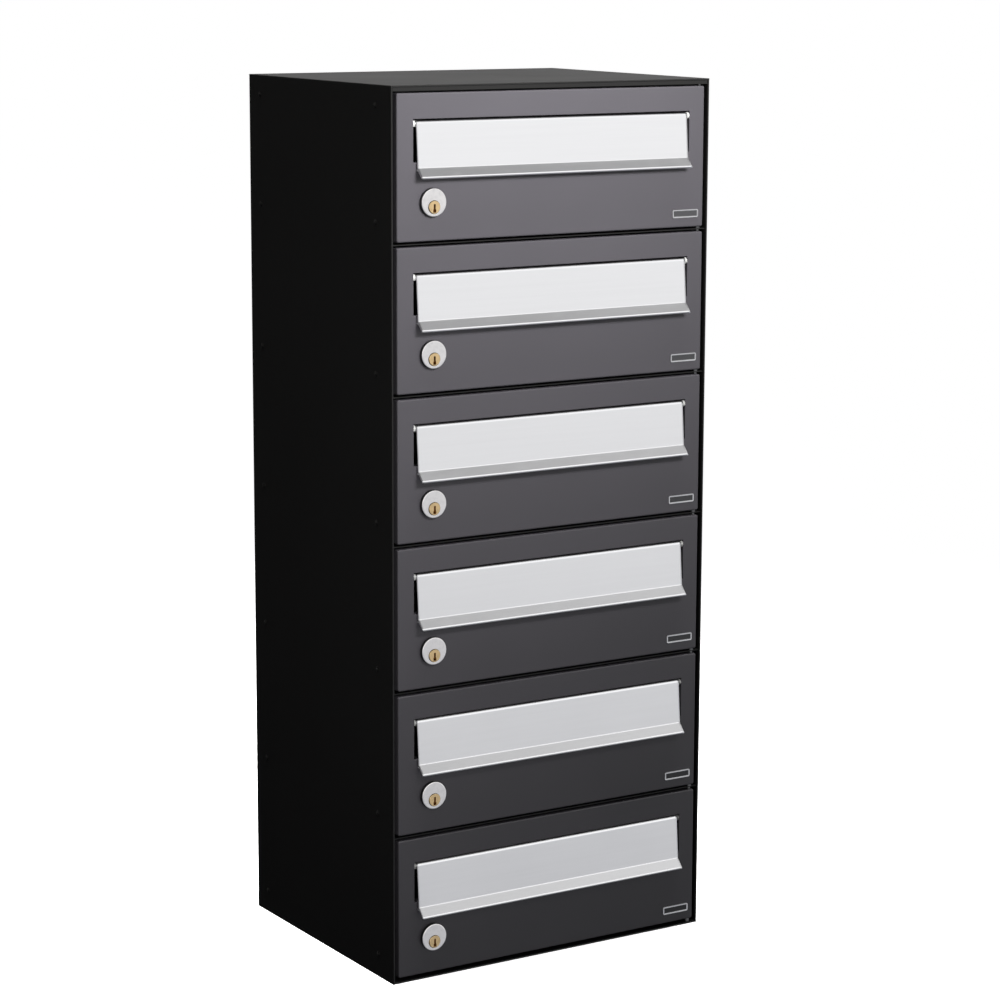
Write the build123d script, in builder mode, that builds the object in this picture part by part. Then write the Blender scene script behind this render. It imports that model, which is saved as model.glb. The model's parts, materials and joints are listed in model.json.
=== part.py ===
from build123d import *
import os

# Cluster mailbox: six lockable letter boxes, one above another, in one folded sheet-steel cabinet.
# Millimetres. +X is to the right seen from the front, +Y to the back, +Z up. The origin is the centre
# of the underside. Box 1 is at the top and box 6 at the bottom.

# ---- Cabinet
WIDTH = 400.0
DEPTH = 316.0
HEIGHT = 960.0
BOXES = 6
SHEET = 1.0  # casing sheet
HEM = 2 * SHEET  # a front edge folded back on itself
BEND = 0.9  # outer radius of a bend in the casing
FIT = 0.3  # gap between folded parts that don't touch

# ---- Doors
TOP_MARGIN = 8.0
BOTTOM_MARGIN = 6.0
DOOR_GAP = 5.5
SIDE_MARGIN = 6.5
DOOR_SHEET = 1.2
DOOR_FLANGE = 14.0  # depth of the folded edge
DOOR_BEND = 2.2

# ---- Door stops and flanges of the casing
STOP_BACK = 20.0  # rear face of the stop, behind the cabinet's front
STOP_WIDTH = 17.0  # free edge of the stop, from the outer face of the side
STOP_END = 5.0  # the stop starts this far from the ends of the side
TRAY_FRONT = 22.0  # the side flanges of roof, shelves and base start here
FLANGE_RISE = 33.0
REAR_RISE = 16.0
REAR_FLANGE_WIDTH = 360.0
SHELF_FRONT = 2.2
NOSE_DEPTH = 16.0
BAND_BACK = 0.9  # the band under the roof's nose is set back this far
BAND_BOTTOM = 954.0
ROOF_STOP = (17.0, 12.0)  # rear face of the roof's door stop, and its drop

# ---- Hinge pins, in the right-hand end of each gap
PIN_X = 189.5
PIN_BEHIND = 5.0
PIN_RADIUS = 2.0
PIN_REACH = 5.0  # how far a pin goes into a door
COLLAR_RADIUS = 3.0
END_PLAY = 0.2
PIVOT_PLAY = 0.05  # radial play of everything that turns

# ---- Rivets
RIVET_RADIUS = 2.0
RIVET_HEAD_RADIUS = 3.3
RIVET_HEAD = 0.9
RIVET_TAIL = 2.4
RIVET_ROWS = (33.5, 290.5)  # behind the front
RIVET_RISE = 21.7  # above a shelf
BASE_RIVET = 25.0
ROOF_RIVET = 938.5
BACK_RIVET_X = 191.0

# ---- Wall fixing
WALL_HOLE_RADIUS = 4.0
WALL_HOLE_SPREAD = 300.0

# ---- Letter slot and flap (heights above the bottom of the door)
SLOT_WIDTH = 347.5
SLOT_BOTTOM = 82.0
SLOT_TOP = 126.3
NECK_DEPTH = 12.0
FLAP_WIDTH = 340.5
FLAP_SHEET = 1.7
FLAP_BEND = 2.6  # radius of the bend, half way through the sheet
ROD_RADIUS = 2.0
ROD_BEHIND = 3.8
ROD_HEIGHT = 121.4
EYE_RADIUS = 3.6
BEND_HEIGHT = 75.8
BEND_PROUD = 3.3
LIP_HEIGHT = 65.4
LIP_PROUD = 11.9
RIB_HEIGHT = 73.9
RIB_GAP = 0.35
BUSH_FLANGE = (3.5, 2.6)  # radius and thickness
BUSH_RADIUS = 2.6
BUSH_BEHIND_EAR = 0.6

# ---- Lock (heights above the bottom of the door, distances behind its face)
LOCK_X = -151.6
LOCK_HEIGHT = 40.4
LOCK_FACE_RADIUS = 15.0
LOCK_PROUD = 4.5
BARREL_RADIUS = 13.5
BARREL_FLATS = 24.0
BARREL_BACK = 21.0
PLUG_HEIGHT = LOCK_HEIGHT - 4.8
PLUG_HEAD_RADIUS = 7.1
PLUG_HEAD = 2.6
PLUG_PROUD = 1.0
PLUG_EDGE = 0.7  # chamfer round the plug's face
PLUG_RADIUS = 6.0
KEY_SLOT = (2.2, 8.8, 14.0)  # width, height and depth
KEY_SLOT_DROP = 1.2  # its middle, below the plug's axis
KEY_SLOT_FOOT = (3.6, 3.4)  # width and height of its wider bottom end
NUT_RADIUS = 18.4
NUT_THICKNESS = 4.0
CAM_GAP = 0.3
CAM_SHEET = 2.0
CAM_WIDTH = 14.0
CAM_REACH = 37.0
SQUARE = 7.6
SCREW_RADIUS = 1.6
SCREW_LENGTH = 8.0
SCREW_SLOT = 1.2
SCREW_HEAD = ((6.2, 0.9), (3.9, 2.6))  # radius and thickness of its washer face and its head
THREAD_PLAY = 0.05

FRONT = -DEPTH / 2
BACK = DEPTH / 2
INNER = WIDTH / 2 - SHEET
INSIDE_HEM = WIDTH / 2 - HEM - FIT
INSIDE_STOP = WIDTH / 2 - STOP_WIDTH - FIT
SIDE_HEIGHT = HEIGHT - SHEET
PITCH = (HEIGHT - TOP_MARGIN - BOTTOM_MARGIN + DOOR_GAP) / BOXES
DOOR_HEIGHT = PITCH - DOOR_GAP
DOOR_WIDTH = WIDTH - 2 * SIDE_MARGIN
PIN_Y = FRONT + PIN_BEHIND
CAM_FRONT = BARREL_BACK + CAM_GAP
CAM_BACK = CAM_FRONT + CAM_SHEET
CORNER = (Align.MIN, Align.MIN)


def behind(distance):
    """The upright plane that far behind the doors' faces: its x is X, its y is Z, and it faces forwards."""
    return Plane.XZ.offset(-FRONT - distance)


def door_bottom(number):
    return BOTTOM_MARGIN + PITCH * (BOXES - number)


def door_top(number):
    return door_bottom(number) + DOOR_HEIGHT


def shelf_level(number):
    """Underside of the shelf below the box of that number, in the middle of the gap."""
    return door_bottom(number) - (DOOR_GAP + SHEET) / 2


def write(shape, name):
    shape.label = name
    export_step(shape, f"parts/{name}.step")


def write_in_each_box(shape, name):
    """The shape is drawn with its door's bottom edge at Z = 0, and each box has one."""
    for number in range(1, BOXES + 1):
        write(shape.moved(Location((0, 0, door_bottom(number)))), f"{name}_{number}")


def block(x, y, z, mode=Mode.ADD):
    """A block between pairs of X, Y and Z, with Y counted from the cabinet's front."""
    with Locations((x[0], FRONT + y[0], z[0])):
        Box(x[1] - x[0], y[1] - y[0], z[1] - z[0], align=(Align.MIN, Align.MIN, Align.MIN), mode=mode)


# ---------------------------------------------------------------------------------------- casing
def rivet_heights():
    shelves = [shelf_level(number) + SHEET / 2 + RIVET_RISE for number in range(1, BOXES)]
    return [ROOF_RIVET, *shelves, BASE_RIVET]


def box_middles(numbers):
    return [door_bottom(number) + DOOR_HEIGHT / 2 for number in numbers]


def side_rivet_holes(heights):
    """Holes right across the cabinet, through the sides and the flanges inside them."""
    across = (0, 90, 0)
    with Locations([Location((0, FRONT + row, height), across) for row in RIVET_ROWS for height in heights]):
        Cylinder(RIVET_RADIUS, WIDTH, mode=Mode.SUBTRACT)


def back_holes(radius, columns, heights):
    """Holes through the back panel and the flanges behind it."""
    with Locations([Location((x, BACK - SHEET, z), (90, 0, 0)) for x in columns for z in heights]):
        Cylinder(radius, 2 * SHEET, mode=Mode.SUBTRACT)


def back_rivet_holes():
    back_holes(RIVET_RADIUS, (-BACK_RIVET_X, BACK_RIVET_X), box_middles(range(1, BOXES + 1)))


def pin_hole(low, high):
    with Locations((PIN_X, PIN_Y, (low + high) / 2)):
        Cylinder(PIN_RADIUS + PIVOT_PLAY, high - low, mode=Mode.SUBTRACT)


def side_panel():
    """Left side: skin, front hem carried on into a door stop, and rear flange, folded from one sheet."""
    with BuildPart() as side:
        with BuildSketch():
            with Locations((-WIDTH / 2, FRONT)):
                Rectangle(SHEET, DEPTH, align=CORNER)
                Rectangle(HEM, STOP_BACK, align=CORNER)
        extrude(amount=SIDE_HEIGHT)
        front_edges = side.edges().filter_by(Axis.Z).group_by(Axis.Y)[0]
        rear_edge = side.edges().filter_by(Axis.Z).group_by(Axis.X)[0].sort_by(Axis.Y)[-1]
        fillet([*front_edges, rear_edge], radius=BEND)
        with BuildSketch(Plane.XY.offset(STOP_END)):
            with Locations((-WIDTH / 2 + SHEET, FRONT + STOP_BACK - SHEET), (-WIDTH / 2 + SHEET, BACK - SHEET)):
                Rectangle(STOP_WIDTH - SHEET, SHEET, align=CORNER)
        extrude(amount=SIDE_HEIGHT - 2 * STOP_END)
        side_rivet_holes(rivet_heights())
        back_rivet_holes()
    return side.part


def tray_plate(front, level):
    """A plate between the sides, notched round their hems and door stops."""
    top = level + SHEET
    block((-INSIDE_HEM, INSIDE_HEM), (front, STOP_BACK - SHEET - FIT), (level, top))
    block((-INSIDE_STOP, INSIDE_STOP), (front, STOP_BACK + FIT), (level, top))
    block((-INNER, INNER), (STOP_BACK + FIT, DEPTH - 2 * SHEET), (level, top))


def tray_flanges(low, high, rear_low, rear_high):
    """The folded edges along the two sides and the rear of a tray."""
    for x in (-INNER, INNER - SHEET):
        block((x, x + SHEET), (TRAY_FRONT, DEPTH - 3 * SHEET), (low, high))
    half = REAR_FLANGE_WIDTH / 2
    block((-half, half), (DEPTH - 3 * SHEET, DEPTH - 2 * SHEET), (rear_low, rear_high))


def roof_panel():
    """Top sheet with a hemmed nose, a band set back below it, a pivot plate and a stop for the top door."""
    under = HEIGHT - SHEET
    plate_top = BAND_BOTTOM + SHEET
    stop_back, stop_drop = ROOF_STOP
    across = (-INSIDE_HEM, INSIDE_HEM)
    with BuildPart() as roof:
        with BuildSketch(Plane.XY.offset(under)):
            Rectangle(WIDTH, DEPTH)
        extrude(amount=SHEET)
        block(across, (0, NOSE_DEPTH), (HEIGHT - HEM, under))
        top_edges = roof.edges().group_by(Axis.Z)[-1]
        nose_edge = roof.edges().filter_by(Axis.X).group_by(Axis.Y)[0].sort_by(Axis.Z)[0]
        fillet([*top_edges, nose_edge], radius=BEND)
        block(across, (BAND_BACK, BAND_BACK + SHEET), (BAND_BOTTOM, HEIGHT - HEM))
        block(across, (BAND_BACK, stop_back), (BAND_BOTTOM, plate_top))
        block(across, (stop_back - SHEET, stop_back), (BAND_BOTTOM - stop_drop, plate_top))
        tray_flanges(HEIGHT - FLANGE_RISE, under, HEIGHT - REAR_RISE, under)
        side_rivet_holes([ROOF_RIVET])
        pin_hole(BAND_BOTTOM, plate_top)
    return roof.part


def shelf(number):
    level = shelf_level(number)
    with BuildPart() as tray:
        tray_plate(SHELF_FRONT, level)
        tray_flanges(level, level + FLANGE_RISE, level, level + REAR_RISE)
        side_rivet_holes([level + SHEET / 2 + RIVET_RISE])
        pin_hole(level, level + SHEET)
    return tray.part


def base_panel():
    """Bottom sheet with a hemmed front edge, which carries the lowest hinge pin."""
    with BuildPart() as tray:
        tray_plate(0, 0)
        block((-INSIDE_HEM, INSIDE_HEM), (0, NOSE_DEPTH), (SHEET, HEM))
        fillet(tray.edges().filter_by(Axis.X).group_by(Axis.Y)[0], radius=BEND)
        tray_flanges(0, FLANGE_RISE, 0, REAR_RISE)
        side_rivet_holes([BASE_RIVET])
        pin_hole(0, HEM)
    return tray.part


def back_panel():
    """Rear sheet, held between the trays and the sides' rear flanges, with four wall holes."""
    with BuildPart() as panel:
        block((-INNER, INNER), (DEPTH - 2 * SHEET, DEPTH - SHEET), (0, SIDE_HEIGHT))
        back_rivet_holes()
        half = WALL_HOLE_SPREAD / 2
        back_holes(WALL_HOLE_RADIUS, (-half, half), box_middles((2, BOXES - 1)))
    return panel.part


def pin_levels():
    """For each hinge pin: its bottom, its top, and the bottom and top of its collar."""
    bottom_door = door_bottom(BOXES)
    levels = [(FIT, bottom_door + PIN_REACH, HEM, bottom_door - END_PLAY)]
    for number in range(1, BOXES):
        collar = shelf_level(number) + SHEET
        levels.append((door_top(number + 1) - PIN_REACH, door_bottom(number) + PIN_REACH,
                       collar, door_bottom(number) - END_PLAY))
    plate_top = BAND_BOTTOM + SHEET
    levels.append((door_top(1) - PIN_REACH, plate_top + HEM, plate_top, plate_top + HEM))
    return levels


def hinge_pins():
    with BuildPart() as pins:
        for low, high, collar_low, collar_high in pin_levels():
            with BuildSketch(Plane.XY.offset(low)):
                with Locations((PIN_X, PIN_Y)):
                    Circle(PIN_RADIUS)
            extrude(amount=high - low)
            with BuildSketch(Plane.XY.offset(collar_low)):
                with Locations((PIN_X, PIN_Y)):
                    Circle(COLLAR_RADIUS)
            extrude(amount=collar_high - collar_low)
    return pins.part


def rivet():
    """A blind rivet with its head on top: domed head, shank through two sheets, and upset tail."""
    grip = 2 * SHEET
    with BuildPart() as blank:
        with BuildSketch(Plane.XZ):
            with BuildLine():
                dome = ThreePointArc((0, RIVET_HEAD), (RIVET_HEAD_RADIUS * 0.62, RIVET_HEAD * 0.72),
                                     (RIVET_HEAD_RADIUS, 0))
                tail = RIVET_RADIUS * 1.35
                Polyline(dome @ 1, (RIVET_RADIUS, 0), (RIVET_RADIUS, -grip), (tail, -grip),
                         (tail, -grip - RIVET_TAIL), (0, -grip - RIVET_TAIL), dome @ 0)
            make_face()
        revolve(axis=Axis.Z)
    return blank.part


def rivets():
    blank = rivet()
    side_places = [(FRONT + row, height) for row in RIVET_ROWS for height in rivet_heights()]
    places = [Location((-WIDTH / 2, y, z), (0, -90, 0)) for y, z in side_places]
    places += [Location((WIDTH / 2, y, z), (0, 90, 0)) for y, z in side_places]
    for height in box_middles(range(1, BOXES + 1)):
        places += [Location((x, BACK, height), (-90, 0, 0)) for x in (-BACK_RIVET_X, BACK_RIVET_X)]
    with BuildPart() as group:
        with Locations(*places):
            add(blank)
    return group.part


# ------------------------------------------------------------- one box, its door's bottom edge at Z = 0
def face_rectangle(width, low, high):
    with Locations((0, low)):
        Rectangle(width, high - low, align=(Align.CENTER, Align.MIN))


def door_pan():
    """Face with folded edges, a necked letter slot, the lock's hole and two pivot holes."""
    with BuildPart() as door:
        with BuildSketch(behind(0)):
            face_rectangle(DOOR_WIDTH, 0, DOOR_HEIGHT)
        extrude(amount=-DOOR_FLANGE)
        fillet(door.edges().filter_by(Axis.Y), radius=DOOR_BEND)
        fillet(door.faces().sort_by(Axis.Y)[0].edges(), radius=DOOR_BEND * 0.8)
        with BuildSketch(behind(DOOR_SHEET)):
            face_rectangle(DOOR_WIDTH - 2 * DOOR_SHEET, DOOR_SHEET, DOOR_HEIGHT - DOOR_SHEET)
        extrude(amount=DOOR_SHEET - DOOR_FLANGE, mode=Mode.SUBTRACT)
        with BuildSketch(behind(DOOR_SHEET)):
            face_rectangle(SLOT_WIDTH + 2 * DOOR_SHEET, SLOT_BOTTOM - DOOR_SHEET, SLOT_TOP + DOOR_SHEET)
        extrude(amount=DOOR_SHEET - NECK_DEPTH)
        with BuildSketch(behind(0)):
            face_rectangle(SLOT_WIDTH, SLOT_BOTTOM, SLOT_TOP)
        extrude(amount=-NECK_DEPTH, mode=Mode.SUBTRACT)
        slot_edges = door.faces().sort_by(Axis.Y)[0].inner_wires()[0].edges()
        fillet(slot_edges, radius=DOOR_SHEET * 0.6)
        with BuildSketch(behind(0)):
            with Locations((LOCK_X, LOCK_HEIGHT)):
                Circle(BARREL_RADIUS + FIT / 3)
                Rectangle(BARREL_FLATS + FIT / 2, 3 * BARREL_RADIUS, mode=Mode.INTERSECT)
        extrude(amount=-DOOR_SHEET, mode=Mode.SUBTRACT)
        with BuildSketch(Plane.YZ.offset(-SLOT_WIDTH / 2 - DOOR_SHEET)):
            with Locations((FRONT + ROD_BEHIND, ROD_HEIGHT)):
                Circle(BUSH_RADIUS)
        extrude(amount=SLOT_WIDTH + 2 * DOOR_SHEET, mode=Mode.SUBTRACT)
        pin_hole(0, DOOR_SHEET)
        pin_hole(DOOR_HEIGHT - DOOR_SHEET, DOOR_HEIGHT)
    return door.part


def flap():
    """Aluminium extrusion: an eye for the rod, a leaning plate, a flared lip and a rib to rest on."""
    half = FLAP_SHEET / 2
    top = (FRONT + ROD_BEHIND - EYE_RADIUS + half, ROD_HEIGHT)
    bend = (FRONT - BEND_PROUD + half, BEND_HEIGHT)
    tip = (FRONT - LIP_PROUD + half, LIP_HEIGHT + half)
    with BuildPart() as extrusion:
        with BuildSketch(Plane.YZ.offset(-FLAP_WIDTH / 2)):
            with BuildLine():
                FilletPolyline(top, bend, tip, radius=FLAP_BEND)
                offset(amount=half)
            make_face()
            with Locations((FRONT - RIB_GAP, RIB_HEIGHT)):
                Rectangle(BEND_PROUD - RIB_GAP - half, FLAP_SHEET, align=(Align.MAX, Align.CENTER))
            with Locations((FRONT + ROD_BEHIND, ROD_HEIGHT)):
                Circle(EYE_RADIUS)
                Circle(ROD_RADIUS, mode=Mode.SUBTRACT)
        extrude(amount=FLAP_WIDTH)
    return extrusion.part


def ear_sketch(*radii):
    """A disc round the rod's axis, bored through where a second radius is given."""
    with Locations((FRONT + ROD_BEHIND, ROD_HEIGHT)):
        Circle(radii[0])
        if len(radii) > 1:
            Circle(radii[1], mode=Mode.SUBTRACT)


def flap_rod():
    length = SLOT_WIDTH + 2 * DOOR_SHEET
    with BuildPart() as rod:
        with BuildSketch(Plane.YZ.offset(-length / 2)):
            ear_sketch(ROD_RADIUS)
        extrude(amount=length)
        chamfer(rod.edges().filter_by(GeomType.CIRCLE), length=ROD_RADIUS * 0.2)
    return rod.part


def flap_bushes():
    """The left and right bush, each with its flange between the ear and the flap's end."""
    flange_radius, flange = BUSH_FLANGE
    bore = ROD_RADIUS + PIVOT_PLAY
    with BuildPart() as bushes:
        with BuildSketch(Plane.YZ.offset(SLOT_WIDTH / 2 - flange)):
            ear_sketch(flange_radius, bore)
        extrude(amount=flange)
        with BuildSketch(Plane.YZ.offset(SLOT_WIDTH / 2)):
            ear_sketch(BUSH_RADIUS, bore)
        extrude(amount=DOOR_SHEET + BUSH_BEHIND_EAR)
        mirror(about=Plane.YZ)
    return bushes.part


def lock_body():
    """Round face on a barrel with two flats, bored below its centre for the plug."""
    with BuildPart() as body:
        with BuildSketch(behind(-LOCK_PROUD)):
            with Locations((LOCK_X, LOCK_HEIGHT)):
                Circle(LOCK_FACE_RADIUS)
        extrude(amount=-LOCK_PROUD)
        fillet(body.faces().sort_by(Axis.Y)[0].edges(), radius=LOCK_PROUD * 0.25)
        with BuildSketch(behind(0)):
            with Locations((LOCK_X, LOCK_HEIGHT)):
                Circle(BARREL_RADIUS)
                Rectangle(BARREL_FLATS, 3 * BARREL_RADIUS, mode=Mode.INTERSECT)
        extrude(amount=-BARREL_BACK)
        plug_bore(PLUG_HEAD_RADIUS, PLUG_HEAD - PLUG_PROUD)
        plug_bore(PLUG_RADIUS, LOCK_PROUD + BARREL_BACK)
    return body.part


def plug_bore(radius, depth):
    """A bore from the front face backwards, on the plug's axis."""
    with Locations(Location((LOCK_X, FRONT - LOCK_PROUD, PLUG_HEIGHT), (-90, 0, 0))):
        Cylinder(radius + PIVOT_PLAY, depth, align=(Align.CENTER, Align.CENTER, Align.MIN), mode=Mode.SUBTRACT)


def lock_nut():
    with BuildPart() as nut:
        with BuildSketch(behind(DOOR_SHEET)):
            with Locations((LOCK_X, LOCK_HEIGHT)):
                RegularPolygon(NUT_RADIUS, side_count=6)
                Circle(BARREL_RADIUS + THREAD_PLAY, mode=Mode.SUBTRACT)
        extrude(amount=-NUT_THICKNESS)
        outer = nut.edges().filter_by(GeomType.LINE).filter_by(Axis.Y, reverse=True)
        chamfer(outer, length=NUT_THICKNESS * 0.12)
    return nut.part


def lock_plug():
    """Brass plug with a shoulder, a stepped key slot, a square end for the cam and a tapped hole."""
    width, height, depth = KEY_SLOT
    front = -LOCK_PROUD - PLUG_PROUD
    with BuildPart() as plug:
        with BuildSketch(behind(front)):
            with Locations((LOCK_X, PLUG_HEIGHT)):
                Circle(PLUG_HEAD_RADIUS)
        extrude(amount=-PLUG_HEAD + PIVOT_PLAY)
        chamfer(plug.faces().sort_by(Axis.Y)[0].edges(), length=PLUG_EDGE)
        with BuildSketch(behind(front + PLUG_HEAD - PIVOT_PLAY)):
            with Locations((LOCK_X, PLUG_HEIGHT)):
                Circle(PLUG_RADIUS)
        extrude(amount=front + PLUG_HEAD - PIVOT_PLAY - CAM_FRONT)
        with BuildSketch(behind(CAM_FRONT)):
            with Locations((LOCK_X, PLUG_HEIGHT)):
                Rectangle(SQUARE, SQUARE)
        extrude(amount=-CAM_SHEET + PIVOT_PLAY)
        with BuildSketch(behind(front)):
            with Locations((LOCK_X, PLUG_HEIGHT - KEY_SLOT_DROP)):
                Rectangle(width, height)
            with Locations((LOCK_X, PLUG_HEIGHT - KEY_SLOT_DROP - height / 2)):
                Rectangle(*KEY_SLOT_FOOT, align=(Align.CENTER, Align.MIN))
        extrude(amount=-depth, mode=Mode.SUBTRACT)
        with BuildSketch(behind(CAM_BACK)):
            with Locations((LOCK_X, PLUG_HEIGHT)):
                Circle(SCREW_RADIUS + THREAD_PLAY)
        extrude(amount=SCREW_LENGTH + SHEET, mode=Mode.SUBTRACT)
    return plug.part


def lock_cam():
    """Locking tongue, here turned up and unlocked, and the washer-headed screw that holds it."""
    with BuildPart() as cam:
        with BuildSketch(behind(CAM_FRONT)) as tongue:
            with Locations((LOCK_X, PLUG_HEIGHT)):
                Circle(CAM_WIDTH / 2)
                Rectangle(CAM_WIDTH, CAM_REACH, align=(Align.CENTER, Align.MIN))
            fillet(tongue.vertices().group_by(Axis.Y)[-1], radius=CAM_WIDTH * 0.28)
            with Locations((LOCK_X, PLUG_HEIGHT)):
                Rectangle(SQUARE + FIT / 3, SQUARE + FIT / 3, mode=Mode.SUBTRACT)
        extrude(amount=-CAM_SHEET)
    return Compound([cam.part.solid(), cam_screw().solid()])


def cam_screw():
    (washer_radius, washer), (head_radius, head) = SCREW_HEAD
    shank_end = CAM_BACK - SCREW_LENGTH
    stations = ((SCREW_RADIUS, shank_end, CAM_BACK), (washer_radius, CAM_BACK, CAM_BACK + washer),
                (head_radius, CAM_BACK + washer, CAM_BACK + washer + head))
    with BuildPart() as screw:
        for radius, start, end in stations:
            with BuildSketch(behind(start)):
                with Locations((LOCK_X, PLUG_HEIGHT)):
                    Circle(radius)
            extrude(amount=start - end)
        rear_edges = screw.faces().sort_by(Axis.Y)[-1].edges()
        fillet(rear_edges, radius=head * 0.4)
        with BuildSketch(behind(CAM_BACK + washer + head)):
            with Locations((LOCK_X, PLUG_HEIGHT)):
                Rectangle(2 * head_radius, SCREW_SLOT)
                Rectangle(SCREW_SLOT, head_radius)
        extrude(amount=head * 0.6, mode=Mode.SUBTRACT)
    return screw.part


os.makedirs("parts", exist_ok=True)
left = side_panel()
write(left, "left_side")
write(left.mirror(Plane.YZ), "right_side")
write(roof_panel(), "roof")
write(base_panel(), "base")
write(back_panel(), "back_panel")
for number in range(1, BOXES):
    write(shelf(number), f"shelf_{number}")
write(hinge_pins(), "hinge_pins")
write(rivets(), "rivets")
write_in_each_box(door_pan(), "door")
write_in_each_box(flap(), "flap")
write_in_each_box(flap_rod(), "flap_rod")
write_in_each_box(flap_bushes(), "flap_bushes")
write_in_each_box(lock_body(), "lock_body")
write_in_each_box(lock_nut(), "lock_nut")
write_in_each_box(lock_plug(), "lock_plug")
write_in_each_box(lock_cam(), "lock_cam")
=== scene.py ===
"""Finishes and small details for a cluster mailbox: six boxes in a folded sheet-steel cabinet.

Metres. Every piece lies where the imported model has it: +X is to the right seen from the front, +Y to the
back and +Z up.
"""
import json
from math import cos, hypot, pi, radians, sin

import bmesh
import bpy
from bpy.props import FloatProperty, FloatVectorProperty, IntProperty, PointerProperty
from mathutils import Matrix, Vector

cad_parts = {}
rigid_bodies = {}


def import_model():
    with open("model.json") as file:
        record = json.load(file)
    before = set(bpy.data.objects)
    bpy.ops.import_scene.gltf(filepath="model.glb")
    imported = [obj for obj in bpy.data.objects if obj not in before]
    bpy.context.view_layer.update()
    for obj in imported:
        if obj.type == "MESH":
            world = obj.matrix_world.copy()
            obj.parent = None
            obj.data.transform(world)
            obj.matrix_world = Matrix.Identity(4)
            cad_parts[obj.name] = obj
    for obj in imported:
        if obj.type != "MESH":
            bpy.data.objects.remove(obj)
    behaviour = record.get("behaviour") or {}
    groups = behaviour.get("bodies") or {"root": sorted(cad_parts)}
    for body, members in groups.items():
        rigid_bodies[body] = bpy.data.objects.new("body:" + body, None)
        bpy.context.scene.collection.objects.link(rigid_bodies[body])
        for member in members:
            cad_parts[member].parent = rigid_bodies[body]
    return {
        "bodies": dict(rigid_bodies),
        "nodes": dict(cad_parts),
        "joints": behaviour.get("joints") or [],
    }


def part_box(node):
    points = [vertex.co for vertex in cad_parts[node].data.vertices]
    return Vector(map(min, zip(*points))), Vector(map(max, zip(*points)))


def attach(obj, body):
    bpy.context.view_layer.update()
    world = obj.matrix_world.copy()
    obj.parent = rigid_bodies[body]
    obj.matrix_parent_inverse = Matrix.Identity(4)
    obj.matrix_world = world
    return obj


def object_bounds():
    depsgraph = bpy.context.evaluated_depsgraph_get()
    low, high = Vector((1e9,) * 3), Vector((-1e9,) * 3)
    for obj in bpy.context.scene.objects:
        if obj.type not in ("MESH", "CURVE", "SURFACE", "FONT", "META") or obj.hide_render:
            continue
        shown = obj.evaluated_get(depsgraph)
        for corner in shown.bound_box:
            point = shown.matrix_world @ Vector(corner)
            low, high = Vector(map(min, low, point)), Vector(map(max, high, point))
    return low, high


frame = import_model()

bl_info = {
    "name": "Cluster Mailbox",
    "version": (1, 0, 0),
    "blender": (4, 5, 0),
    "location": "3D View > Sidebar > Mailbox",
    "description": "Finishes, badges, lock threads and rivet ends of a six-box cluster mailbox",
    "category": "Add Mesh",
}

MM = 0.001
CAD_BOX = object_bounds()
BOXES = sum(name.startswith("door_") for name in frame["bodies"])
NUMBERS = range(1, BOXES + 1)


def joint(name):
    return next(entry for entry in frame["joints"] if entry["name"] == name)


def joint_place(name):
    return Vector(joint(name)["pos_m"])


DOOR_LOW, DOOR_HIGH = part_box("door_1")
PITCH = DOOR_LOW.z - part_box("door_2")[0].z
PLUG_AXIS = joint_place("lock_1_turn")
LOCK_LOW, LOCK_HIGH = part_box("lock_body_1")
LOCK_AXIS = (LOCK_LOW + LOCK_HIGH) / 2
FLAP_LOW, FLAP_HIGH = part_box("flap_1")
FLAP_EDGE = 1.2 * MM  # rounding of the flaps' ends and lower edges
DIE_LINE = 0.012 * MM  # depth of the lines along the extrusion

# ---- Depths of the finishes' textures
CASING_RELIEF = 0.07 * MM
DOOR_RELIEF = 0.06 * MM
METAL_RELIEF = 0.01 * MM
PLASTIC_RELIEF = 0.02 * MM
CASING_SPECULAR = 0.25
DOOR_SPECULAR = 0.5
RUBBED = (18 * MM, 60 * MM)  # the doors' coat is rubbed inside the first distance from the key plug

# ---- Turned lock faces: pitch of their rings, and the radius beyond which painted shade, nearly black, darkens their rims and sides
NICKEL_RING = 0.42 * MM
NICKEL_SHADE_RADIUS = 14.7 * MM
BRASS_RING = 0.36 * MM
BRASS_SHADE_RADIUS = 6.7 * MM
# light grey plastic, darkened from 0.6 as painted shade for the bushes that sit in shadow
BUSH_GREY_AND_SHADE = (0.42, 0.42, 0.41)
BADGE_COLOUR = (0.035, 0.035, 0.037)

# ---- Stage
WORLD_FRONT = 1.26
WORLD_BEHIND = 0.50
WORLD_RIGHT = 0.90
WORLD_FILL = 0.01
WORLD_TINT = (0.94, 0.97, 1.06)  # of the world below the horizon
FLOOR_GLOW = 1.0
FLOOR_DROP = 0.2 * MM
SENSOR_WIDTH = 36
CLIP_END = 1000
# name: place, the point it looks at, width and height, watts, and spread in degrees
LIGHTS = {
    "key": ((0.05, -1.30, 1.35), (0, -0.155, 1.08), (0.5, 0.3), 7.8, 66),
    "top": ((0.0, 0.1, 2.3), (0, 0, 0.96), (1.4, 1.4), 26, 60),
    "edge": ((-0.46, -0.62, 0.62), (-0.2, -0.10, 0.62), (0.1, 1.1), 1.0, 110),
    "rear": ((0.4, 2.4, 1.2), (0, 0.158, 0.5), (1.2, 1.2), 30, 90),
}


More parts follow.
